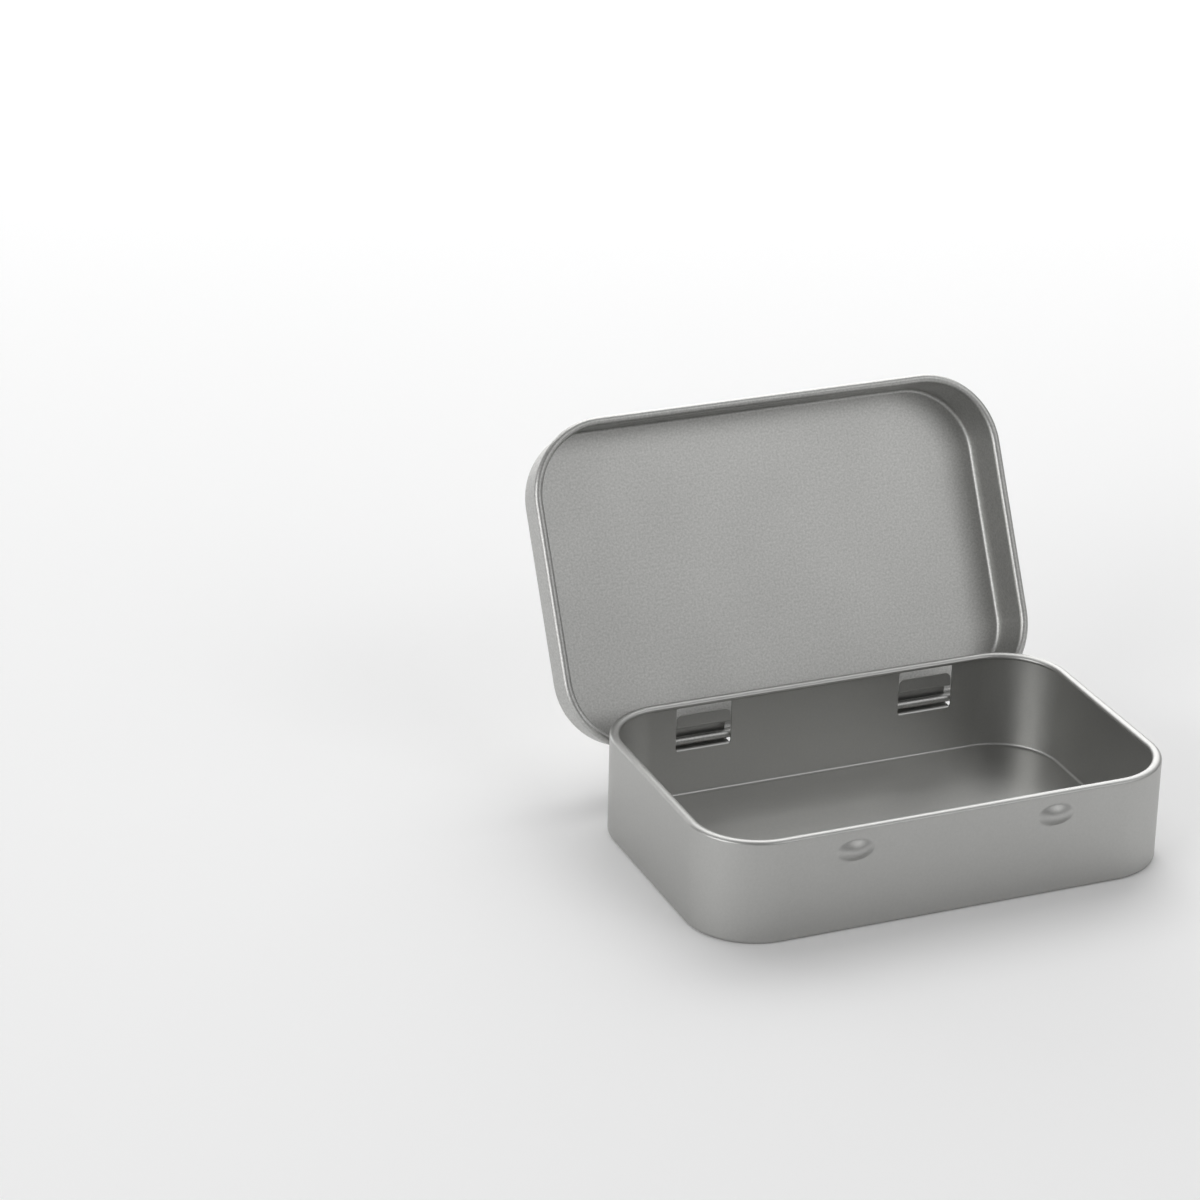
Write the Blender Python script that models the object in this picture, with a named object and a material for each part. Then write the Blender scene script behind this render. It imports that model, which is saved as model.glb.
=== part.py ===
"""Hinged tin box: a drawn tray and a drawn cover of thin tinplate, joined at the back by two sheet hooks.

The origin is the middle of the tray's underside. X runs along the tin, +Y points to the hinge side and +Z is
up. The cover stands open, as on a table. Its object turns about the hinge axis, and at a turn of zero it is
shut.
"""
import math

import bmesh
import bpy
from mathutils import Vector

MM = 0.001

# Tray
TRAY_LENGTH = 91.35 * MM
TRAY_WIDTH = 57.7 * MM
TRAY_HEIGHT = 19.75 * MM
CORNER_RADIUS = 12.7 * MM
FLOOR_EDGE_RADIUS = 0.75 * MM
SHEET = 0.25 * MM
RIM_BEAD_WIDTH = 1.8 * MM
RIM_BEAD_HEIGHT = 1.2 * MM
BEAD_GAP = 0.3 * MM

# Cover; its front gap follows from the swing of its front edge over the tray's rim
LID_DEPTH = 10.15 * MM
LID_SIDE_GAP = 0.35 * MM
LID_BACK_GAP = 0.35 * MM
LID_SWING_CLEARANCE = 0.15 * MM
LID_HEADROOM = 0.3 * MM
LID_EDGE_RADIUS = 1.05 * MM
LID_BEAD_DIAMETER = 1.6 * MM
LID_OPEN_ANGLE = math.radians(117.3)

# Hinges: windows and hooks of the tray, slots of the cover
HINGE_INSET = 4.75 * MM
WINDOW_WIDTH = 11.1 * MM
WINDOW_CORNER_RADIUS = 1.0 * MM
WINDOW_TOP_MARGIN = 0.1 * MM
HOOK_CLEARANCE = 0.3 * MM
HOOK_SIDE_GAP = 0.2 * MM
HOOK_ROOT_RADIUS = 0.4 * MM
HOOK_ROOT_OVERLAP = 0.6 * MM
HOOK_HEADROOM = 2.15 * MM
HOOK_TOP_RADIUS = 0.8 * MM
HOOK_RETURN_RADIUS = 0.5 * MM
HOOK_TIP_GAP = 2.05 * MM
HOOK_TIP_RADIUS = 1.2 * MM
HOOK_TIP_LEAN = 0.2 * MM
SLOT_HEIGHT = 3.7 * MM
SLOT_CORNER_RADIUS = 0.6 * MM

# Catch: the channel in the cover's front skirt and the bumps on the tray's front wall that reach into it.
# The bumps sit a little above the channel's middle, so that they push the shut cover up from the rim.
CHANNEL_INSET = 4.7 * MM
CHANNEL_DROP = 5.35 * MM
CHANNEL_HEIGHT = 4.0 * MM
CHANNEL_CREST = 0.5 * MM
CHANNEL_END_SLOPE = 1.0 * MM
BUMP_INSET = 10.2 * MM
BUMP_LENGTH = 6.6 * MM
BUMP_HEIGHT = 3.8 * MM
BUMP_REACH = 0.2 * MM
CATCH_LIFT = 0.6 * MM
CATCH_CLEARANCE = 0.45 * MM

# How far a cutter runs past what it cuts
OVERRUN = 1.0 * MM

# Counts of straight steps on round stretches, the bend from which an edge is sharp, and a bevel's round form
CORNER_STEPS = 10
EDGE_STEPS = 4
BEAD_STEP_ANGLE = math.radians(30)
HOOK_STEP_ANGLE = math.radians(20)
BUMP_STEPS = 20
BUMP_RINGS = 4
TIP_STEPS = 4
SHARP_ANGLE = math.radians(35)
ROUND_PROFILE = 0.5

# Places that follow from the sizes
LID_BEAD_RADIUS = LID_BEAD_DIAMETER / 2
TRAY_BACK = TRAY_WIDTH / 2
TRAY_FRONT = -TRAY_WIDTH / 2
RIM_BEAD_Z = TRAY_HEIGHT - RIM_BEAD_HEIGHT / 2
LID_INSIDE_Z = TRAY_HEIGHT + LID_HEADROOM
LID_TOP_Z = LID_INSIDE_Z + SHEET
LID_BACK = TRAY_BACK + LID_BACK_GAP
AXIS_Y = LID_BACK + LID_BEAD_RADIUS
AXIS_Z = LID_INSIDE_Z - LID_DEPTH + LID_BEAD_RADIUS
HINGE_AXIS = Vector((0, AXIS_Y, AXIS_Z))
RIM_ARM = Vector((AXIS_Y - TRAY_FRONT - RIM_BEAD_WIDTH / 2, RIM_BEAD_Z - AXIS_Z))
RIM_SIDE = math.hypot(RIM_BEAD_WIDTH / 2 * RIM_ARM.x, RIM_BEAD_HEIGHT / 2 * RIM_ARM.y) / RIM_ARM.length
RIM_REACH = RIM_ARM.length + RIM_SIDE
LID_FRONT = AXIS_Y - RIM_REACH - LID_SWING_CLEARANCE
STRAIGHT_HALF = TRAY_LENGTH / 2 - CORNER_RADIUS
HINGE_X = STRAIGHT_HALF - HINGE_INSET - WINDOW_WIDTH / 2
HOOK_RADIUS = LID_BEAD_RADIUS + HOOK_CLEARANCE + SHEET / 2
HOOK_ROOT_Z = AXIS_Z - HOOK_RADIUS - HOOK_ROOT_RADIUS
HOOK_TOP_Z = AXIS_Z + LID_BEAD_RADIUS + HOOK_HEADROOM + SHEET / 2
WINDOW_TOP_Z = TRAY_HEIGHT - RIM_BEAD_HEIGHT - WINDOW_TOP_MARGIN
CHANNEL_RISE = BUMP_REACH + CATCH_CLEARANCE
CHANNEL_Z = LID_TOP_Z - CHANNEL_DROP
BUMP_X = STRAIGHT_HALF - BUMP_INSET - BUMP_LENGTH / 2
BUMP_Z = CHANNEL_Z + CATCH_LIFT
BUMP_DEPTH = TRAY_FRONT - LID_FRONT + BUMP_REACH


def clear_scene():
    for obj in list(bpy.data.objects):
        bpy.data.objects.remove(obj, do_unlink=True)


def metal(name, colour, roughness):
    """Bare satin tinplate."""
    material = bpy.data.materials.new(name)
    material.use_nodes = True
    shader = material.node_tree.nodes["Principled BSDF"]
    shader.inputs["Base Color"].default_value = (*colour, 1)
    shader.inputs["Metallic"].default_value = 1
    shader.inputs["Roughness"].default_value = roughness
    return material


def arc(centre, radius, start, end, steps):
    """Points on a circle from the angle start to the angle end, both ends included."""
    turns = [start + (end - start) * i / steps for i in range(steps + 1)]
    return [(centre[0] + radius * math.cos(t), centre[1] + radius * math.sin(t)) for t in turns]


def oval(centre, half_width, half_height, start, end, steps, inset=0):
    """Points on a level oval, from the turn start to the turn end, moved inwards by an even distance."""
    points = []
    for i in range(steps + 1):
        turn = start + (end - start) * i / steps
        across, rise = math.cos(turn), math.sin(turn)
        out = Vector((half_height * across, half_width * rise)).normalized() * inset
        points.append((centre[0] + half_width * across - out.x, centre[1] + half_height * rise - out.y))
    return points


def arc_steps(start, end, step_angle):
    return max(1, round(abs(end - start) / step_angle))


def rounded_rectangle(half_length, half_width, radius, steps):
    """A closed outline, anticlockwise, with the same number of points at any size."""
    points = []
    corners = ((1, 1, 0), (-1, 1, 1), (-1, -1, 2), (1, -1, 3))
    for side_x, side_y, quarter in corners:
        centre = (side_x * (half_length - radius), side_y * (half_width - radius))
        start = quarter * math.pi / 2
        points += arc(centre, radius, start, start + math.pi / 2, steps)
    return points


def new_object(name, bm, material=None):
    bmesh.ops.recalc_face_normals(bm, faces=bm.faces)
    mesh = bpy.data.meshes.new(name)
    bm.to_mesh(mesh)
    bm.free()
    obj = bpy.data.objects.new(name, mesh)
    bpy.context.collection.objects.link(obj)
    if material:
        mesh.materials.append(material)
        mesh.shade_smooth()
        mesh.set_sharp_from_angle(angle=SHARP_ANGLE)
    return obj


def helper(name, bm, parent):
    """A solid that only serves a Boolean of its parent, shown as wires and never rendered."""
    obj = new_object(name, bm)
    obj.parent = parent
    obj.hide_render = True
    obj.display_type = "WIRE"
    return obj


def boolean(target, tool, operation):
    modifier = target.modifiers.new(tool.name, "BOOLEAN")
    modifier.operation = operation
    modifier.solver = "EXACT"
    modifier.object = tool


def swept_shell(profile, half_length, front, back, radius, origin):
    """Carries a profile round a rounded rectangle; each profile point is (outset from its side, height)."""
    bm = bmesh.new()
    half_width = (back - front) / 2
    centre_y = (back + front) / 2
    rings = []
    for outset, height in profile:
        plan = rounded_rectangle(half_length + outset, half_width + outset, radius + outset, CORNER_STEPS)
        rings.append([bm.verts.new(Vector((x, centre_y + y, height)) - origin) for x, y in plan])
    for lower, upper in zip(rings, rings[1:]):
        count = len(lower)
        for i in range(count):
            following = (i + 1) % count
            bm.faces.new((lower[i], lower[following], upper[following], upper[i]))
    bm.faces.new(rings[0])
    bm.faces.new(rings[-1])
    return bm


def prism(outline, place, depth):
    """Extrudes a closed outline by the vector depth; place turns an outline point into a position."""
    bm = bmesh.new()
    near = [bm.verts.new(place(point)) for point in outline]
    far = [bm.verts.new(vert.co + depth) for vert in near]
    bm.faces.new(near)
    bm.faces.new(far)
    for i in range(len(near)):
        following = (i + 1) % len(near)
        bm.faces.new((near[i], near[following], far[following], far[i]))
    return bm


def tray_profile():
    """From the middle of the underside, up the outside, round the inward bead and down to the floor."""
    floor_edge = (-FLOOR_EDGE_RADIUS, FLOOR_EDGE_RADIUS)
    half_width = RIM_BEAD_WIDTH / 2
    half_height = RIM_BEAD_HEIGHT / 2
    bead = (-half_width, RIM_BEAD_Z)
    end = 2 * math.pi - math.acos((half_width - SHEET - BEAD_GAP) / half_width)
    steps = arc_steps(0, end, BEAD_STEP_ANGLE)
    profile = arc(floor_edge, FLOOR_EDGE_RADIUS, -math.pi / 2, 0, EDGE_STEPS)
    profile += oval(bead, half_width, half_height, 0, end, steps)
    profile += oval(bead, half_width, half_height, end, 0, steps, SHEET)
    profile += arc(floor_edge, FLOOR_EDGE_RADIUS - SHEET, 0, -math.pi / 2, EDGE_STEPS)
    return profile


def lid_profile():
    """From the middle of the top, down the skirt, round the outward bead and back up to the inside."""
    edge = (SHEET - LID_EDGE_RADIUS, LID_TOP_Z - LID_EDGE_RADIUS)
    bead = (LID_BEAD_RADIUS, AXIS_Z)
    reach = (BEAD_GAP + SHEET - LID_BEAD_RADIUS) / LID_BEAD_RADIUS
    end = 2 * math.pi + math.acos(reach)
    steps = arc_steps(math.pi, end, BEAD_STEP_ANGLE)
    profile = arc(edge, LID_EDGE_RADIUS, math.pi / 2, 0, EDGE_STEPS)
    profile += arc(bead, LID_BEAD_RADIUS - SHEET, math.pi, end, steps)
    profile += arc(bead, LID_BEAD_RADIUS, end, math.pi, steps)
    profile += arc(edge, LID_EDGE_RADIUS - SHEET, 0, math.pi / 2, EDGE_STEPS)
    return profile


def hook_path():
    """The hook's middle line in (y, z): out of the wall, round the hinge bead and back into the window."""
    wall = TRAY_BACK - SHEET / 2
    quarter = math.pi / 2
    steps = arc_steps(0, quarter, HOOK_STEP_ANGLE)
    back = AXIS_Y + HOOK_RADIUS
    root = (wall + HOOK_ROOT_RADIUS, HOOK_ROOT_Z)
    top = (back - HOOK_TOP_RADIUS, HOOK_TOP_Z - HOOK_TOP_RADIUS)
    inturn = (wall + HOOK_RETURN_RADIUS, HOOK_TOP_Z + HOOK_RETURN_RADIUS)
    path = [(wall, HOOK_ROOT_Z - HOOK_ROOT_OVERLAP)]
    path += arc(root, HOOK_ROOT_RADIUS, math.pi, quarter, steps)
    path += arc((AXIS_Y, AXIS_Z), HOOK_RADIUS, -quarter, 0, steps)
    path += arc(top, HOOK_TOP_RADIUS, 0, quarter, steps)
    path += arc(inturn, HOOK_RETURN_RADIUS, -quarter, -math.pi, steps)
    path.append((wall + HOOK_TIP_LEAN, WINDOW_TOP_Z - HOOK_TIP_GAP))
    return path


def strip_outline(path, thickness):
    """The closed outline of a sheet of even thickness along a path."""
    left, right = [], []
    for i, point in enumerate(path):
        before = Vector(path[max(i - 1, 0)])
        after = Vector(path[min(i + 1, len(path) - 1)])
        along = (after - before).normalized()
        across = Vector((-along.y, along.x)) * thickness / 2
        left.append(tuple(Vector(point) + across))
        right.append(tuple(Vector(point) - across))
    return left + right[::-1]


def hook_mesh(x):
    """A hook as wide as its window less the side gaps, with the two corners of its tip rounded."""
    width = WINDOW_WIDTH - 2 * HOOK_SIDE_GAP
    outline = strip_outline(hook_path(), SHEET)
    bm = prism(outline, lambda p: Vector((x - width / 2, p[0], p[1])), Vector((width, 0, 0)))
    tip_z = max(vert.co.z for vert in bm.verts)
    tip_edges = []
    for edge in bm.edges:
        a, b = (vert.co for vert in edge.verts)
        at_tip = min(a.z, b.z) > tip_z - SHEET
        if at_tip and abs(a.x - b.x) < SHEET:
            tip_edges.append(edge)
    bmesh.ops.bevel(bm, geom=tip_edges, offset=HOOK_TIP_RADIUS, segments=TIP_STEPS, affect="EDGES",
                    profile=ROUND_PROFILE)
    return bm


def window_mesh(x):
    """A window through the back wall, with round corners."""
    half_height = (WINDOW_TOP_Z - HOOK_ROOT_Z) / 2
    centre_z = (WINDOW_TOP_Z + HOOK_ROOT_Z) / 2
    outline = rounded_rectangle(WINDOW_WIDTH / 2, half_height, WINDOW_CORNER_RADIUS, EDGE_STEPS)
    start = TRAY_BACK - SHEET - OVERRUN
    depth = SHEET + 2 * OVERRUN
    return prism(outline, lambda p: Vector((x + p[0], start, centre_z + p[1])), Vector((0, depth, 0)))


def slot_mesh(x):
    """A slot in the cover's back skirt, just above the bead, which it leaves whole."""
    start = LID_BACK - OVERRUN
    depth = OVERRUN + SHEET + BEAD_GAP / 2
    centre_z = AXIS_Z + SLOT_HEIGHT / 2
    outline = rounded_rectangle(WINDOW_WIDTH / 2, SLOT_HEIGHT / 2, SLOT_CORNER_RADIUS, EDGE_STEPS)

    def place(point):
        return Vector((x + point[0], start, centre_z + point[1])) - HINGE_AXIS

    return prism(outline, place, Vector((0, depth, 0)))


def bump_mesh(x, face_y, back):
    """A dished bump that stands forward of the plane face_y, with a straight back behind that plane."""
    bm = bmesh.new()
    rings = []
    ring_shares = [0] + [i / BUMP_RINGS for i in range(BUMP_RINGS)]
    for i, share in enumerate(ring_shares):
        radius_share = 1 - share
        y = face_y + back if i == 0 else face_y - BUMP_DEPTH * (1 - radius_share ** 2)
        ring = []
        for j in range(BUMP_STEPS):
            turn = 2 * math.pi * j / BUMP_STEPS
            dx = BUMP_LENGTH / 2 * radius_share * math.cos(turn)
            dz = BUMP_HEIGHT / 2 * radius_share * math.sin(turn)
            ring.append(bm.verts.new((x + dx, y, BUMP_Z + dz)))
        rings.append(ring)
    for outer, inner in zip(rings, rings[1:]):
        for j in range(BUMP_STEPS):
            following = (j + 1) % BUMP_STEPS
            bm.faces.new((outer[j], outer[following], inner[following], inner[j]))
    bm.faces.new(rings[0])
    apex = bm.verts.new((x, face_y - BUMP_DEPTH, BUMP_Z))
    for j in range(BUMP_STEPS):
        bm.faces.new((rings[-1][j], rings[-1][(j + 1) % BUMP_STEPS], apex))
    return bm


def channel_mesh(face_y, back):
    """A long low ridge with sloping sides and ends that stands forward of the plane face_y."""
    bm = bmesh.new()
    base_x = STRAIGHT_HALF - CHANNEL_INSET
    base = (base_x, CHANNEL_HEIGHT / 2)
    crest = (base_x - CHANNEL_END_SLOPE, CHANNEL_CREST / 2)
    layers = ((face_y + back, base), (face_y, base), (face_y - CHANNEL_RISE, crest))
    corners = ((-1, -1), (1, -1), (1, 1), (-1, 1))
    rings = []
    for y, (half_length, half_height) in layers:
        ring = []
        for side_x, side_z in corners:
            corner = Vector((side_x * half_length, y, CHANNEL_Z + side_z * half_height))
            ring.append(bm.verts.new(corner - HINGE_AXIS))
        rings.append(ring)
    for outer, inner in zip(rings, rings[1:]):
        for i in range(len(outer)):
            following = (i + 1) % len(outer)
            bm.faces.new((outer[i], outer[following], inner[following], inner[i]))
    bm.faces.new(rings[0])
    bm.faces.new(rings[-1])
    return bm


def press_out(target, name, shape, face_y):
    """Presses a shape out of a wall whose outside is at face_y, keeping the sheet's thickness."""
    boolean(target, helper(name + "_outside", shape(face_y, SHEET / 2), target), "UNION")
    boolean(target, helper(name + "_inside", shape(face_y + SHEET, OVERRUN), target), "DIFFERENCE")


def make_tray(material):
    shell = swept_shell(tray_profile(), TRAY_LENGTH / 2, TRAY_FRONT, TRAY_BACK, CORNER_RADIUS, Vector())
    tray = new_object("base_tray", shell, material)
    for side, sign in (("left", -1), ("right", 1)):
        boolean(tray, helper(f"window_{side}", window_mesh(sign * HINGE_X), tray), "DIFFERENCE")
        boolean(tray, helper(f"hook_{side}", hook_mesh(sign * HINGE_X), tray), "UNION")

        def bump(face_y, back, x=sign * BUMP_X):
            return bump_mesh(x, face_y, back)

        press_out(tray, f"bump_{side}", bump, TRAY_FRONT)
    return tray


def make_lid(material):
    half_length = TRAY_LENGTH / 2 + LID_SIDE_GAP
    radius = CORNER_RADIUS + LID_SIDE_GAP
    shell = swept_shell(lid_profile(), half_length, LID_FRONT, LID_BACK, radius, HINGE_AXIS)
    lid = new_object("lid_cover", shell, material)
    for side, sign in (("left", -1), ("right", 1)):
        boolean(lid, helper(f"slot_{side}", slot_mesh(sign * HINGE_X), lid), "DIFFERENCE")
    press_out(lid, "channel", channel_mesh, LID_FRONT - SHEET)
    lid.location = HINGE_AXIS
    lid.rotation_euler.x = -LID_OPEN_ANGLE
    return lid


def main():
    clear_scene()
    make_tray(metal("tray_tinplate", (0.47, 0.47, 0.45), 0.32))
    make_lid(metal("lid_tinplate", (0.48, 0.48, 0.46), 0.32))


main()
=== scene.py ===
"""Looks of a small hinged tin of satin tinplate: a drawn tray, and a drawn cover that stands open behind it.

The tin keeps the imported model's frame and sizes. Its two sheets are made again with finer rolls, corners and
pressings, and get the dull grain of satin tinplate.
"""
import math

import bmesh
import bpy
from mathutils import Matrix, Vector

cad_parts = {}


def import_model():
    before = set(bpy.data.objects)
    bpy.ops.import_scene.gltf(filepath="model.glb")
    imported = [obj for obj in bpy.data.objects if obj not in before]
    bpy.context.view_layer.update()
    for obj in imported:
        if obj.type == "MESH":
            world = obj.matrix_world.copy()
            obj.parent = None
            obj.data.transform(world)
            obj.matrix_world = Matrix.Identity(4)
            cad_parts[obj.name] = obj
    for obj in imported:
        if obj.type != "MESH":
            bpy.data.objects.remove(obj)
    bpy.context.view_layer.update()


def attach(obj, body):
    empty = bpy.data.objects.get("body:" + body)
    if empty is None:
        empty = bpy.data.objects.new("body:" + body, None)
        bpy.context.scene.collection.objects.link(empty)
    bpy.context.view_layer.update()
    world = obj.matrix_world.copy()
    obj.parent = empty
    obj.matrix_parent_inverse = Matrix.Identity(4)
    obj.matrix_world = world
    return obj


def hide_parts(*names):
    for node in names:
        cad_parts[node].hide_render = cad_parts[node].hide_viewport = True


MM = 0.001

# Tinplate: sizes of its grain, its cloudiness and its draw lines
GRAIN_SIZE = 0.42 * MM
CLOUD_SIZE = 14 * MM
DRAW_SIZE = 0.6 * MM
DRAW_DEPTH = 0.006 * MM
DRAW_STRETCH = 0.05

# Tray
TRAY_LENGTH = 91.35 * MM
TRAY_WIDTH = 57.7 * MM
TRAY_HEIGHT = 19.75 * MM
CORNER_RADIUS = 12.7 * MM
FLOOR_EDGE_RADIUS = 0.75 * MM
SHEET = 0.25 * MM
RIM_BEAD_WIDTH = 1.8 * MM
RIM_BEAD_HEIGHT = 1.2 * MM
BEAD_GAP = 0.3 * MM

# Cover
LID_DEPTH = 10.15 * MM
LID_SIDE_GAP = 0.35 * MM
LID_BACK_GAP = 0.35 * MM
LID_SWING_CLEARANCE = 0.15 * MM
LID_HEADROOM = 0.3 * MM
LID_EDGE_RADIUS = 1.05 * MM
LID_BEAD_RADIUS = 0.8 * MM
LID_OPEN_ANGLE = math.radians(117.3)

# Hinges
HINGE_INSET = 4.75 * MM
WINDOW_WIDTH = 11.1 * MM
WINDOW_CORNER_RADIUS = 1.0 * MM
WINDOW_TOP_MARGIN = 0.1 * MM
HOOK_CLEARANCE = 0.3 * MM
HOOK_SIDE_GAP = 0.2 * MM
HOOK_ROOT_RADIUS = 0.4 * MM
HOOK_ROOT_OVERLAP = 0.6 * MM
HOOK_HEADROOM = 2.15 * MM
HOOK_TOP_RADIUS = 0.8 * MM
HOOK_RETURN_RADIUS = 0.5 * MM
HOOK_TIP_GAP = 2.05 * MM
HOOK_TIP_RADIUS = 1.2 * MM
HOOK_TIP_LEAN = 0.2 * MM
SLOT_HEIGHT = 3.7 * MM
SLOT_CORNER_RADIUS = 0.6 * MM

# Catch
CHANNEL_INSET = 4.7 * MM
CHANNEL_DROP = 5.35 * MM
CHANNEL_HEIGHT = 4.0 * MM
CHANNEL_CREST = 0.5 * MM
CHANNEL_END_SLOPE = 1.0 * MM
CHANNEL_STRAIGHTNESS = 0.45
BUMP_INSET = 10.2 * MM
BUMP_LENGTH = 6.6 * MM
BUMP_HEIGHT = 3.8 * MM
BUMP_REACH = 0.2 * MM
BUMP_FOOT = 1.12
BUMP_FULLNESS = 1.4
CATCH_LIFT = 0.6 * MM
CATCH_CLEARANCE = 0.45 * MM

# Fineness of the sheets
CORNER_STEPS = 30
ROLL_STEP = math.radians(15)
PRESS_STEP = 0.2 * MM
PRESS_END = 2.4 * MM
PATCH_HALF = 0.58
TIP_STEPS = 8
OPENING_STEPS = 8
OVERRUN = 1.0 * MM
SHARP_ANGLE = math.radians(38)
FACE_WEIGHT = 80

# Tolerances
MERGE_DISTANCE = 0.0005 * MM
LEVEL_TOLERANCE = 0.01 * MM
PLANE_TOLERANCE = 0.001 * MM
EDGE_TOLERANCE = 0.0001 * MM
CUT_TOLERANCE = 0.00001 * MM
FAR = 1

# Places that follow from the sizes
TRAY_BACK = TRAY_WIDTH / 2
TRAY_FRONT = -TRAY_WIDTH / 2
RIM_BEAD_Z = TRAY_HEIGHT - RIM_BEAD_HEIGHT / 2
LID_INSIDE_Z = TRAY_HEIGHT + LID_HEADROOM
LID_TOP_Z = LID_INSIDE_Z + SHEET
LID_BACK = TRAY_BACK + LID_BACK_GAP
AXIS_Y = LID_BACK + LID_BEAD_RADIUS
AXIS_Z = LID_INSIDE_Z - LID_DEPTH + LID_BEAD_RADIUS
HINGE_AXIS = Vector((0, AXIS_Y, AXIS_Z))
RIM_ARM = Vector((AXIS_Y - TRAY_FRONT - RIM_BEAD_WIDTH / 2, RIM_BEAD_Z - AXIS_Z))
RIM_SIDE = math.hypot(RIM_BEAD_WIDTH / 2 * RIM_ARM.x, RIM_BEAD_HEIGHT / 2 * RIM_ARM.y) / RIM_ARM.length
RIM_REACH = RIM_ARM.length + RIM_SIDE
LID_FRONT = AXIS_Y - RIM_REACH - LID_SWING_CLEARANCE
STRAIGHT_HALF = TRAY_LENGTH / 2 - CORNER_RADIUS
HINGE_X = STRAIGHT_HALF - HINGE_INSET - WINDOW_WIDTH / 2
HOOK_RADIUS = LID_BEAD_RADIUS + HOOK_CLEARANCE + SHEET / 2
HOOK_ROOT_Z = AXIS_Z - HOOK_RADIUS - HOOK_ROOT_RADIUS
HOOK_TOP_Z = AXIS_Z + LID_BEAD_RADIUS + HOOK_HEADROOM + SHEET / 2
WINDOW_TOP_Z = TRAY_HEIGHT - RIM_BEAD_HEIGHT - WINDOW_TOP_MARGIN
CHANNEL_RISE = BUMP_REACH + CATCH_CLEARANCE
CHANNEL_Z = LID_TOP_Z - CHANNEL_DROP
BUMP_X = STRAIGHT_HALF - BUMP_INSET - BUMP_LENGTH / 2
BUMP_Z = CHANNEL_Z + CATCH_LIFT
BUMP_DEPTH = TRAY_FRONT - LID_FRONT + BUMP_REACH

SIDES = (("left", -1), ("right", 1))

# The photograph's view: place, and turns about the upright, the sideways and the viewing line
CAMERA_PLACE = (-296.33 * MM, -571.78 * MM, 330.95 * MM)
CAMERA_YAW = math.radians(22.804)
CAMERA_PITCH = math.radians(23.907)
CAMERA_ROLL = math.radians(-1.201)
CAMERA_LENS = 119.39
SENSOR = 36

# Soft boxes round the tin: bearing and elevation in degrees, width and height in metres, and brightness
LAMP_DISTANCE = 1.3
ROOM_LIGHT = 0.25
TABLE_RADIUS = 1.1
TIN_MIDDLE = Vector((0, 10 * MM, 20 * MM))
SOFT_BOXES = (
    ("back_low_box", 180, 14, 2.0, 0.5, 2.0),
    ("back_high_box", 180, 60, 1.2, 1.0, 1.3),
    ("back_right_box", 150, 38, 1.0, 1.0, 1.55),
    ("right_back_box", 115, 38, 0.9, 0.9, 0.6),
    ("right_box", 60, 38, 0.8, 0.8, 0.6),
    ("front_right_box", 30, 38, 0.65, 0.65, 1.3),
    ("left_box", 285, 20, 0.9, 0.7, 3.2),
)


def linear(code):
    """A colour written as sRGB hex, turned into the linear values that a shader takes."""
    values = [int(code[i:i + 2], 16) / 255 for i in (1, 3, 5)]
    return (*[v / 12.92 if v <= 0.04045 else ((v + 0.055) / 1.055) ** 2.4 for v in values], 1)


def add(tree, kind, inputs=None, **settings):
    """A new node with its settings, and its inputs given as values or as sockets to link from."""
    node = tree.nodes.new(kind)
    for name, value in settings.items():
        setattr(node, name, value)
    for name, value in (inputs or {}).items():
        if isinstance(value, bpy.types.NodeSocket):
            tree.links.new(value, node.inputs[name])
        else:
            node.inputs[name].default_value = value
    return node


# Materials

def satin_tinplate(name, light, dark, pit_depth, turn):
    """Tin-coated steel sheet with a dull stone finish: a fine grain, and faint draw lines down the walls.

    The steel is rolled with a matt roller before it is tinned, which leaves pits about 0.4 mm across.
    """
    material = bpy.data.materials.new(name)
    material.use_nodes = True
    tree = material.node_tree
    shader = tree.nodes["Principled BSDF"]
    place = add(tree, "ShaderNodeTexCoord").outputs["Object"]
    square = add(tree, "ShaderNodeMapping", {"Vector": place, "Rotation": (turn, 0, 0)}).outputs["Vector"]

    grain = add(tree, "ShaderNodeTexNoise", {"Vector": square, "Scale": 1 / GRAIN_SIZE, "Detail": 3.0,
                                             "Roughness": 0.6})
    cloud = add(tree, "ShaderNodeTexNoise", {"Vector": square, "Scale": 1 / CLOUD_SIZE, "Detail": 2.0})
    long_way = add(tree, "ShaderNodeMapping", {"Vector": square, "Scale": (1, 1, DRAW_STRETCH)})
    draw = add(tree, "ShaderNodeTexNoise", {"Vector": long_way.outputs["Vector"], "Scale": 1 / DRAW_SIZE,
                                            "Detail": 2.0})

    speck = add(tree, "ShaderNodeMapRange", {"Value": grain.outputs["Fac"], "From Min": 0.32,
                                             "From Max": 0.68})
    tone = add(tree, "ShaderNodeMix", {"Factor": speck.outputs["Result"], "A": linear(dark),
                                       "B": linear(light)}, data_type="RGBA")
    tree.links.new(tone.outputs["Result"], shader.inputs["Base Color"])

    spread = add(tree, "ShaderNodeMapRange", {"Value": cloud.outputs["Fac"], "From Min": 0.3,
                                              "From Max": 0.7, "To Min": 0.42, "To Max": 0.44})
    tree.links.new(spread.outputs["Result"], shader.inputs["Roughness"])

    pits = add(tree, "ShaderNodeBump", {"Height": grain.outputs["Fac"], "Strength": 0.6,
                                        "Distance": pit_depth})
    lines = add(tree, "ShaderNodeBump", {"Height": draw.outputs["Fac"], "Strength": 0.25,
                                         "Distance": DRAW_DEPTH, "Normal": pits.outputs["Normal"]})
    tree.links.new(lines.outputs["Normal"], shader.inputs["Normal"])
    shader.inputs["Metallic"].default_value = 1
    return material


def matt_paint(name, code):
    """Matt white paint of the table."""
    material = bpy.data.materials.new(name)
    material.use_nodes = True
    shader = material.node_tree.nodes["Principled BSDF"]
    shader.inputs["Base Color"].default_value = linear(code)
    shader.inputs["Roughness"].default_value = 0.9
    shader.inputs["Specular IOR Level"].default_value = 0
    return material


# Shapes

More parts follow.
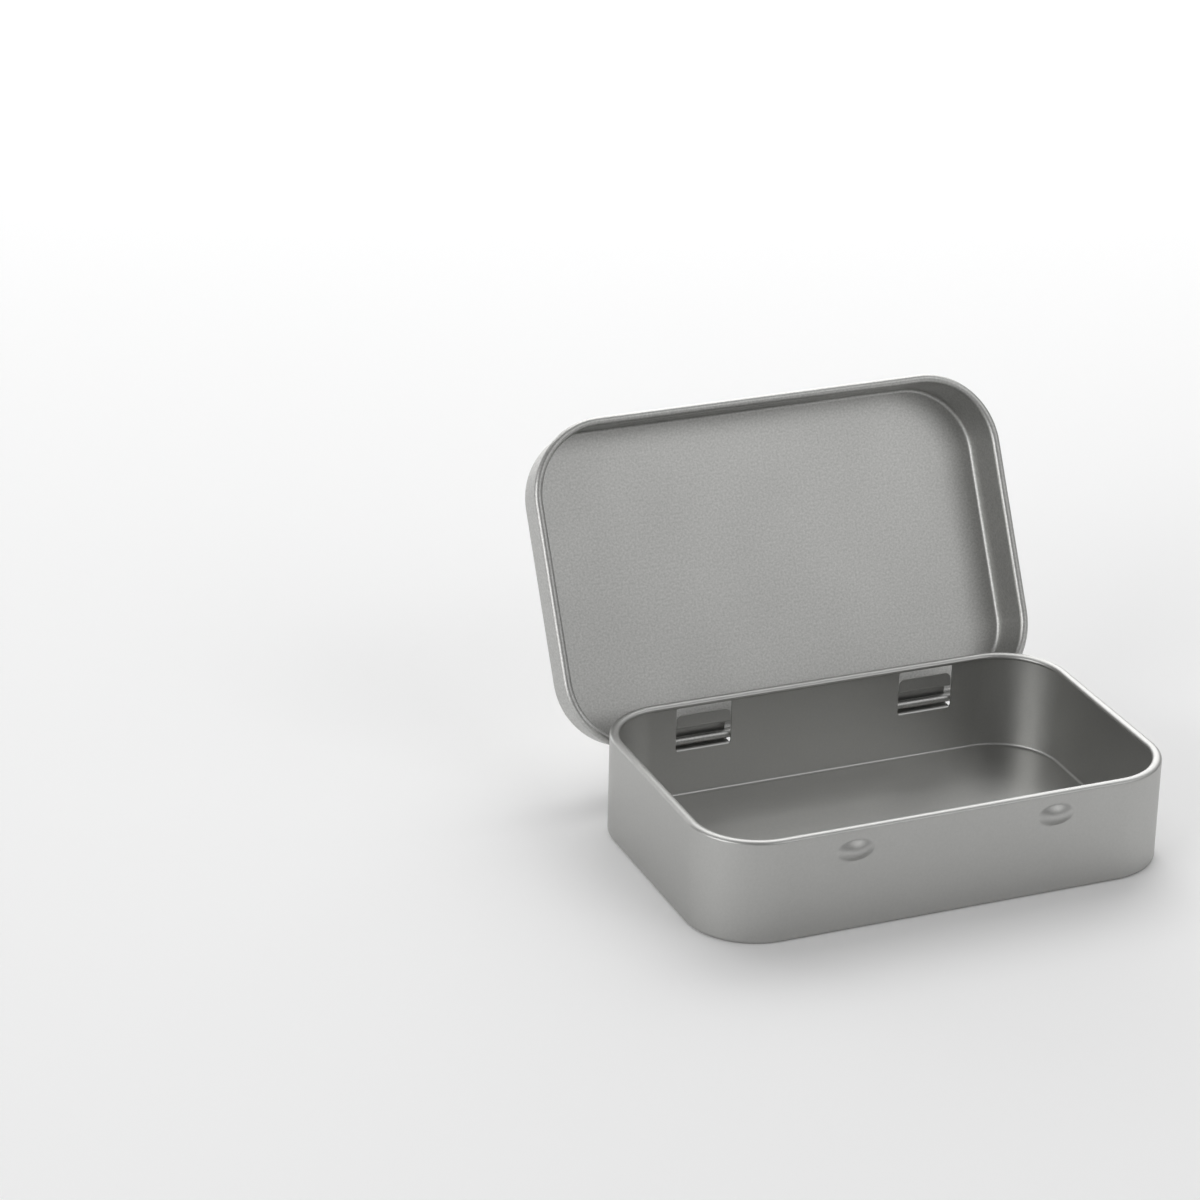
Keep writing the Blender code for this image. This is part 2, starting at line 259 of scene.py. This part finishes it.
def arc(centre, radius, start, end, steps):
    """Points on a part of a circle, both ends included."""
    turns = [start + (end - start) * i / steps for i in range(steps + 1)]
    return [(centre[0] + radius * math.cos(t), centre[1] + radius * math.sin(t)) for t in turns]


def roll_steps(start, end):
    return max(2, round(abs(end - start) / ROLL_STEP))


def mesh_object(name, bm, material=None):
    mesh = bpy.data.meshes.new(name)
    bm.to_mesh(mesh)
    bm.free()
    obj = bpy.data.objects.new(name, mesh)
    bpy.context.scene.collection.objects.link(obj)
    if material:
        mesh.materials.append(material)
    return obj


def plain_mesh(obj):
    """Puts the result of an object's modifiers into its own mesh and takes the modifiers off."""
    bpy.context.view_layer.update()
    depsgraph = bpy.context.evaluated_depsgraph_get()
    mesh = bpy.data.meshes.new_from_object(obj.evaluated_get(depsgraph), depsgraph=depsgraph)
    old = obj.data
    obj.modifiers.clear()
    obj.data = mesh
    mesh.name = obj.name
    bpy.data.meshes.remove(old)
    return obj


def rolled_wall_tree():
    """Carries a sheet's cross-section round a rectangle with round corners."""
    tree = bpy.data.node_groups.new("rolled_wall", "GeometryNodeTree")
    face = tree.interface
    face.new_socket("Geometry", in_out="OUTPUT", socket_type="NodeSocketGeometry")
    face.new_socket("Section", in_out="INPUT", socket_type="NodeSocketGeometry")
    for name, kind in (("Length", "Float"), ("Width", "Float"), ("Corner Radius", "Float"),
                       ("Corner Steps", "Int"), ("Middle", "Vector"), ("Sheet", "Material")):
        face.new_socket(name, in_out="INPUT", socket_type="NodeSocket" + kind)
    given = tree.nodes.new("NodeGroupInput").outputs
    outline = add(tree, "GeometryNodeCurvePrimitiveQuadrilateral",
                  {"Width": given["Length"], "Height": given["Width"]}, mode="RECTANGLE")
    rounded = add(tree, "GeometryNodeFilletCurve",
                  {"Curve": outline.outputs["Curve"], "Count": given["Corner Steps"],
                   "Radius": given["Corner Radius"]}, mode="POLY")
    level = add(tree, "GeometryNodeSetCurveNormal", {"Curve": rounded.outputs["Curve"]}, mode="Z_UP")
    section = add(tree, "GeometryNodeMeshToCurve", {"Mesh": given["Section"]})
    wall = add(tree, "GeometryNodeCurveToMesh", {"Curve": level.outputs["Curve"],
                                                 "Profile Curve": section.outputs["Curve"]})
    placed = add(tree, "GeometryNodeTransform", {"Geometry": wall.outputs["Mesh"],
                                                 "Translation": given["Middle"]})
    real = add(tree, "GeometryNodeRealizeInstances", {"Geometry": placed.outputs["Geometry"]})
    coated = add(tree, "GeometryNodeSetMaterial", {"Geometry": real.outputs["Geometry"],
                                                   "Material": given["Sheet"]})
    result = tree.nodes.new("NodeGroupOutput")
    tree.links.new(coated.outputs["Geometry"], result.inputs["Geometry"])
    return tree


def rolled_wall(name, tree, section, length, front, back, radius, material):
    """One skin of a drawn sheet; each section point is (outset from the side, height).

    The sweep turns its section upside down, so the heights go in with their signs changed.
    """
    bm = bmesh.new()
    verts = [bm.verts.new((outset, -height, 0)) for outset, height in section]
    for a, b in zip(verts, verts[1:]):
        bm.edges.new((a, b))
    obj = mesh_object(name, bm, material)
    sweep = obj.modifiers.new("rolled_wall", "NODES")
    sweep.node_group = tree
    sizes = {"Length": length, "Width": back - front, "Corner Radius": radius, "Corner Steps": CORNER_STEPS,
             "Middle": (0, (front + back) / 2, 0), "Sheet": material}
    for item in tree.interface.items_tree:
        if item.in_out == "INPUT" and item.name in sizes:
            sweep[item.identifier] = sizes[item.name]
    return plain_mesh(obj)


def close_flat(bm, height):
    """Fills the ring of open edges at a height with the sheet's flat part, and turns all faces outwards."""
    bmesh.ops.remove_doubles(bm, verts=bm.verts, dist=MERGE_DISTANCE)
    ring = [e for e in bm.edges
            if e.is_boundary and all(abs(v.co.z - height) < LEVEL_TOLERANCE for v in e.verts)]
    bmesh.ops.edgeloop_fill(bm, edges=ring)
    bmesh.ops.recalc_face_normals(bm, faces=bm.faces)


def in_patch(face, y, low, high):
    """Whether a face lies in the flat wall at y, between two corners given as (x, z)."""
    return all(abs(v.co.y - y) < PLANE_TOLERANCE
               and low[0] - EDGE_TOLERANCE < v.co.x < high[0] + EDGE_TOLERANCE
               and low[1] - EDGE_TOLERANCE < v.co.z < high[1] + EDGE_TOLERANCE for v in face.verts)


def cut_wall(bm, y, low, high, plane_co, plane_no):
    """Cuts the flat wall at y along a plane, between two corners given as (x, z)."""
    faces = [f for f in bm.faces if in_patch(f, y, low, high)]
    edges = {e for f in faces for e in f.edges}
    verts = {v for f in faces for v in f.verts}
    bmesh.ops.bisect_plane(bm, geom=faces + list(edges) + list(verts), dist=CUT_TOLERANCE,
                           plane_co=plane_co, plane_no=plane_no)


def press_wall(bm, y, low, high, depth_at):
    """Presses the flat wall at y outwards, to the front, inside a patch; depth_at(x, z) is how far."""
    wall_low, wall_high = (-STRAIGHT_HALF, -FAR), (STRAIGHT_HALF, FAR)
    for x in (low[0], high[0]):
        cut_wall(bm, y, wall_low, wall_high, (x, y, 0), (1, 0, 0))
    for z in (low[1], high[1]):
        cut_wall(bm, y, (low[0], -FAR), (high[0], FAR), (0, y, z), (0, 0, 1))
    steps = max(1, round((high[1] - low[1]) / PRESS_STEP))
    for i in range(1, steps):
        cut_wall(bm, y, low, high, (0, y, low[1] + (high[1] - low[1]) * i / steps), (0, 0, 1))
    for x in patch_columns(low[0], high[0]):
        cut_wall(bm, y, low, high, (x, y, 0), (1, 0, 0))
    for v in bm.verts:
        x, z = v.co.x, v.co.z
        if abs(v.co.y - y) < PLANE_TOLERANCE and low[0] < x < high[0] and low[1] < z < high[1]:
            v.co.y -= depth_at(x, z)


def patch_columns(start, end):
    """Fine columns all along a short patch; on a long one, only near its two ends."""
    length = end - start
    if length <= 4 * PRESS_END:
        steps = round(length / PRESS_STEP)
        return [start + length * i / steps for i in range(1, steps)]
    steps = round(PRESS_END / PRESS_STEP)
    shifts = [PRESS_END * i / steps for i in range(1, steps + 1)]
    return [start + shift for shift in shifts] + [end - shift for shift in shifts]


def soft_step(share):
    """Rises from 0 to 1 with level ends."""
    share = min(1, max(0, share))
    return share * share * (3 - 2 * share)


def cutter(name, outline, place, depth):
    """A prism over an outline, whose points are set in space by place()."""
    bm = bmesh.new()
    near = [bm.verts.new(place(point)) for point in outline]
    far = [bm.verts.new(v.co + depth) for v in near]
    bm.faces.new(near)
    bm.faces.new(far)
    for i in range(len(near)):
        following = (i + 1) % len(near)
        bm.faces.new((near[i], near[following], far[following], far[i]))
    bmesh.ops.recalc_face_normals(bm, faces=bm.faces)
    return mesh_object(name, bm)


def combine(obj, tool, operation):
    """Joins or subtracts a tool, and removes it."""
    change = obj.modifiers.new(tool.name, "BOOLEAN")
    change.operation = operation
    change.solver = "EXACT"
    change.object = tool
    plain_mesh(obj)
    bpy.data.objects.remove(tool)


def thicken(obj, offset):
    """Gives a skin the sheet's thickness: inwards with an offset of -1, outwards with 1."""
    sheet = obj.modifiers.new("sheet", "SOLIDIFY")
    sheet.thickness = SHEET
    sheet.offset = offset
    sheet.use_even_offset = True
    sheet.use_rim = True
    plain_mesh(obj)


def smooth(obj):
    """Smooth rolls and corners, sharp cut edges, and flat walls that stay flat."""
    obj.data.shade_smooth()
    obj.data.set_sharp_from_angle(angle=SHARP_ANGLE)
    even = obj.modifiers.new("even", "WEIGHTED_NORMAL")
    even.keep_sharp = True
    even.weight = FACE_WEIGHT
    plain_mesh(obj)


def tray_section():
    """The tray's outer skin: round the floor's edge, up the wall and round the inward oval roll."""
    floor_edge = (-FLOOR_EDGE_RADIUS, FLOOR_EDGE_RADIUS)
    half_width, half_height = RIM_BEAD_WIDTH / 2, RIM_BEAD_HEIGHT / 2
    end = 2 * math.pi - math.acos((half_width - SHEET - BEAD_GAP) / half_width)
    steps = roll_steps(0, end)
    section = arc(floor_edge, FLOOR_EDGE_RADIUS, -math.pi / 2, 0, roll_steps(0, math.pi / 2))
    for turn in (end * i / steps for i in range(steps + 1)):
        section.append((half_width * (math.cos(turn) - 1), RIM_BEAD_Z + half_height * math.sin(turn)))
    return section


def cover_section():
    """The cover's inner skin: round the top's edge, down the skirt and round the outward roll."""
    edge = (SHEET - LID_EDGE_RADIUS, LID_TOP_Z - LID_EDGE_RADIUS)
    roll = (LID_BEAD_RADIUS, AXIS_Z)
    end = 2 * math.pi + math.acos((BEAD_GAP + SHEET - LID_BEAD_RADIUS) / LID_BEAD_RADIUS)
    section = arc(edge, LID_EDGE_RADIUS - SHEET, math.pi / 2, 0, roll_steps(0, math.pi / 2))
    return section + arc(roll, LID_BEAD_RADIUS, math.pi, end, roll_steps(math.pi, end))


def bump_depth(x, z):
    """A snap bump: a full oval dome."""
    along = (abs(x) - BUMP_X) / (BUMP_LENGTH / 2)
    up = (z - BUMP_Z) / (BUMP_HEIGHT / 2)
    reach = math.hypot(along, up) / BUMP_FOOT
    return BUMP_DEPTH * max(0, 1 - reach * reach) ** BUMP_FULLNESS


def channel_depth(x, z):
    """The catch channel: a low ridge with a narrow crest, whose two ends fall away quickly."""
    slope = (CHANNEL_HEIGHT - CHANNEL_CREST) / 2
    across = (CHANNEL_HEIGHT / 2 - abs(z - CHANNEL_Z)) / slope
    along = (STRAIGHT_HALF - CHANNEL_INSET - abs(x)) / CHANNEL_END_SLOPE
    straight = min(1, max(0, across))
    rise = CHANNEL_STRAIGHTNESS * straight + (1 - CHANNEL_STRAIGHTNESS) * soft_step(straight)
    return CHANNEL_RISE * rise * soft_step(along)


def hook_path():
    """The hook's middle line in (y, z): out of the wall, round the cover's roll and back into the window."""
    wall = TRAY_BACK - SHEET / 2
    quarter = math.pi / 2
    steps = roll_steps(0, quarter)
    back = AXIS_Y + HOOK_RADIUS
    path = [(wall, HOOK_ROOT_Z - HOOK_ROOT_OVERLAP)]
    path += arc((wall + HOOK_ROOT_RADIUS, HOOK_ROOT_Z), HOOK_ROOT_RADIUS, math.pi, quarter, steps)
    path += arc((AXIS_Y, AXIS_Z), HOOK_RADIUS, -quarter, 0, steps)
    path += arc((back - HOOK_TOP_RADIUS, HOOK_TOP_Z - HOOK_TOP_RADIUS), HOOK_TOP_RADIUS, 0, quarter, steps)
    path += arc((wall + HOOK_RETURN_RADIUS, HOOK_TOP_Z + HOOK_RETURN_RADIUS), HOOK_RETURN_RADIUS, -quarter,
                -math.pi, steps)
    path.append((wall + HOOK_TIP_LEAN, WINDOW_TOP_Z - HOOK_TIP_GAP))
    return path


def hook(side, x):
    """A tongue of the tray's sheet, bent out and round; the corners of its tip are round."""
    width = WINDOW_WIDTH - 2 * HOOK_SIDE_GAP
    path = [Vector(point) for point in hook_path()]
    left, right = [], []
    for i, point in enumerate(path):
        along = (path[min(i + 1, len(path) - 1)] - path[max(i - 1, 0)]).normalized()
        across = Vector((-along.y, along.x)) * SHEET / 2
        left.append(point + across)
        right.append(point - across)
    obj = cutter("hook_" + side, left + right[::-1], lambda p: Vector((x - width / 2, p[0], p[1])),
                 Vector((width, 0, 0)))
    bm = bmesh.new()
    bm.from_mesh(obj.data)
    tip_z = max(v.co.z for v in bm.verts)
    tip = [e for e in bm.edges if min(v.co.z for v in e.verts) > tip_z - SHEET
           and abs(e.verts[0].co.x - e.verts[1].co.x) < SHEET]
    bmesh.ops.bevel(bm, geom=tip, offset=HOOK_TIP_RADIUS, segments=TIP_STEPS, affect="EDGES", profile=0.5)
    bm.to_mesh(obj.data)
    bm.free()
    return obj


def opening_outline(x, bottom, top, radius):
    """A window's or slot's outline in (x, z), as wide as the windows are, with round corners."""
    outline = []
    half = WINDOW_WIDTH / 2 - radius
    rise = (top - bottom) / 2 - radius
    for quarter, (side_x, side_z) in enumerate(((1, 1), (-1, 1), (-1, -1), (1, -1))):
        centre = (x + side_x * half, (bottom + top) / 2 + side_z * rise)
        start = quarter * math.pi / 2
        outline += arc(centre, radius, start, start + math.pi / 2, OPENING_STEPS)
    return outline


def cut_opening(obj, name, outline, start, depth):
    """Cuts an opening with an outline in (x, z) through the back wall, from y = start and so deep."""
    tool = cutter(name, outline, lambda p: Vector((p[0], start, p[1])), Vector((0, depth, 0)))
    combine(obj, tool, "DIFFERENCE")


def make_tray(tree, material):
    tray = rolled_wall("tray_sheet", tree, tray_section(), TRAY_LENGTH, TRAY_FRONT, TRAY_BACK, CORNER_RADIUS,
                       material)
    bm = bmesh.new()
    bm.from_mesh(tray.data)
    close_flat(bm, 0)
    for _, sign in SIDES:
        half = Vector((BUMP_LENGTH, BUMP_HEIGHT)) * PATCH_HALF
        middle = Vector((sign * BUMP_X, BUMP_Z))
        press_wall(bm, TRAY_FRONT, middle - half, middle + half, bump_depth)
    bm.to_mesh(tray.data)
    bm.free()
    thicken(tray, -1)
    for side, sign in SIDES:
        x = sign * HINGE_X
        outline = opening_outline(x, HOOK_ROOT_Z, WINDOW_TOP_Z, WINDOW_CORNER_RADIUS)
        cut_opening(tray, "window_" + side, outline, TRAY_BACK - SHEET - OVERRUN, SHEET + 2 * OVERRUN)
        combine(tray, hook(side, x), "UNION")
    smooth(tray)
    return tray


def make_cover(tree, material):
    cover = rolled_wall("cover_sheet", tree, cover_section(), TRAY_LENGTH + 2 * LID_SIDE_GAP, LID_FRONT,
                        LID_BACK, CORNER_RADIUS + LID_SIDE_GAP, material)
    bm = bmesh.new()
    bm.from_mesh(cover.data)
    close_flat(bm, LID_INSIDE_Z)
    half = Vector((STRAIGHT_HALF - CHANNEL_INSET, CHANNEL_HEIGHT / 2))
    middle = Vector((0, CHANNEL_Z))
    press_wall(bm, LID_FRONT, middle - half, middle + half, channel_depth)
    bm.to_mesh(cover.data)
    bm.free()
    thicken(cover, 1)
    for side, sign in SIDES:
        outline = opening_outline(sign * HINGE_X, AXIS_Z, AXIS_Z + SLOT_HEIGHT, SLOT_CORNER_RADIUS)
        cut_opening(cover, "slot_" + side, outline, LID_BACK - OVERRUN, OVERRUN + SHEET + BEAD_GAP / 2)
    swing = (Matrix.Translation(HINGE_AXIS) @ Matrix.Rotation(-LID_OPEN_ANGLE, 4, "X")
             @ Matrix.Translation(-HINGE_AXIS))
    cover.data.transform(swing)
    smooth(cover)
    return cover


# Table and light

def table():
    """A large flat white table."""
    bm = bmesh.new()
    bmesh.ops.create_circle(bm, cap_ends=True, segments=64, radius=TABLE_RADIUS)
    obj = mesh_object("table_top", bm, matt_paint("table_paint", "#F6F6F6"))


def soft_box(name, bearing, elevation, width, height, radiance):
    """A soft box of even brightness that looks at the tin; its bearing turns from the front to the right."""
    turn, rise = math.radians(bearing), math.radians(elevation)
    towards = Vector((math.sin(turn) * math.cos(rise), -math.cos(turn) * math.cos(rise), math.sin(rise)))
    lamp = bpy.data.lights.new(name, "AREA")
    lamp.shape = "RECTANGLE"
    lamp.size, lamp.size_y = width, height
    lamp.energy = radiance * math.pi * width * height
    obj = bpy.data.objects.new(name, lamp)
    bpy.context.scene.collection.objects.link(obj)
    obj.location = LAMP_DISTANCE * towards
    obj.rotation_euler = (TIN_MIDDLE - obj.location).to_track_quat("-Z", "Y").to_euler()


def studio():
    """Soft boxes in a room with a little even light of its own."""
    world = bpy.data.worlds.new("studio")
    bpy.context.scene.world = world
    world.use_nodes = True
    back = world.node_tree.nodes["Background"]
    back.inputs["Color"].default_value = (1, 1, 1, 1)
    back.inputs["Strength"].default_value = ROOM_LIGHT
    for box in SOFT_BOXES:
        soft_box(*box)


def photo_camera():
    """The photograph's camera, as found by fitting the tin's edges."""
    yaw, pitch, roll = CAMERA_YAW, CAMERA_PITCH, CAMERA_ROLL
    ahead = Vector((math.sin(yaw) * math.cos(pitch), math.cos(yaw) * math.cos(pitch), -math.sin(pitch)))
    right = Vector((math.cos(yaw), -math.sin(yaw), 0))
    down = ahead.cross(right)
    turned_right = math.cos(roll) * right + math.sin(roll) * down
    turned_down = -math.sin(roll) * right + math.cos(roll) * down
    lens = bpy.data.cameras.new("photo_camera")
    lens.lens = CAMERA_LENS
    lens.sensor_width = SENSOR
    lens.sensor_fit = "HORIZONTAL"
    lens.clip_start = 0.01
    obj = bpy.data.objects.new("photo_camera", lens)
    bpy.context.scene.collection.objects.link(obj)
    turn = Matrix((turned_right, -turned_down, -ahead)).transposed().to_4x4()
    obj.matrix_world = Matrix.Translation(CAMERA_PLACE) @ turn
    bpy.context.scene.camera = obj


def main():
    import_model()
    photo_camera()
    studio()
    table()

    tree = rolled_wall_tree()
    tray = make_tray(tree, satin_tinplate("satin_tinplate_tray", "#B9B9B7", "#B5B5B3", 0.002 * MM, 0))
    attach(tray, "base")
    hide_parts("base_tray")
    cover = make_cover(tree, satin_tinplate("satin_tinplate_cover", "#C4C4C2", "#ADADAB", 0.006 * MM,
                                            LID_OPEN_ANGLE))
    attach(cover, "lid")
    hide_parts("lid_cover")

    bpy.context.scene.view_settings.view_transform = "Standard"


main()
